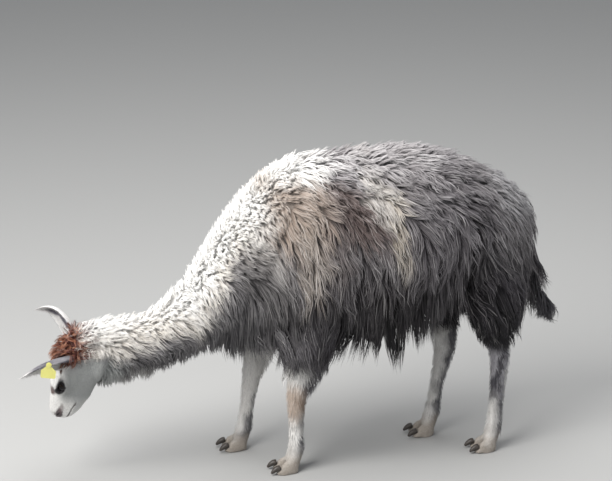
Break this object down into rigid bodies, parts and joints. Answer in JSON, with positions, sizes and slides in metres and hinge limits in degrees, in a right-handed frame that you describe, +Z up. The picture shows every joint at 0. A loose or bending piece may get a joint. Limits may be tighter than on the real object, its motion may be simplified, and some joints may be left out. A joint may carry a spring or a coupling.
{
  "type": "llama",
  "caption": "Life-size still model of a long-fleeced llama that stands with its neck lowered and its muzzle near the ground to graze.",
  "frame": {"origin": "on the floor, at the middle of the length and width of the whole animal", "axes": "+X towards the tail, +Y towards the animal's right side, +Z up"},
  "size_m": [1.9886, 0.552, 1.1542],
  "materials": {
    "fleece": "long matted wool",
    "white_wool": "long wool, white to grey",
    "dark_wool": "long dark wool",
    "leg_hair": "short hair",
    "ear_hair": "short hair",
    "eye": "wet, dark",
    "nail": "worn horn",
    "tag": "plain yellow"
  },
  "bodies": {
    "root": {"trunk": "fleece", "neck": "white_wool", "head": "white_wool", "eye_left": "eye", "eye_right": "eye", "ear_left": "ear_hair", "ear_right": "ear_hair", "ear_tag": "tag", "tail": "dark_wool", "leg_front_left": "leg_hair", "nail_front_left_outer": "nail", "nail_front_left_inner": "nail", "leg_front_right": "leg_hair", "nail_front_right_outer": "nail", "nail_front_right_inner": "nail", "leg_hind_left": "leg_hair", "nail_hind_left_outer": "nail", "nail_hind_left_inner": "nail", "leg_hind_right": "leg_hair", "nail_hind_right_outer": "nail", "nail_hind_right_inner": "nail"}
  },
  "joints": []
}
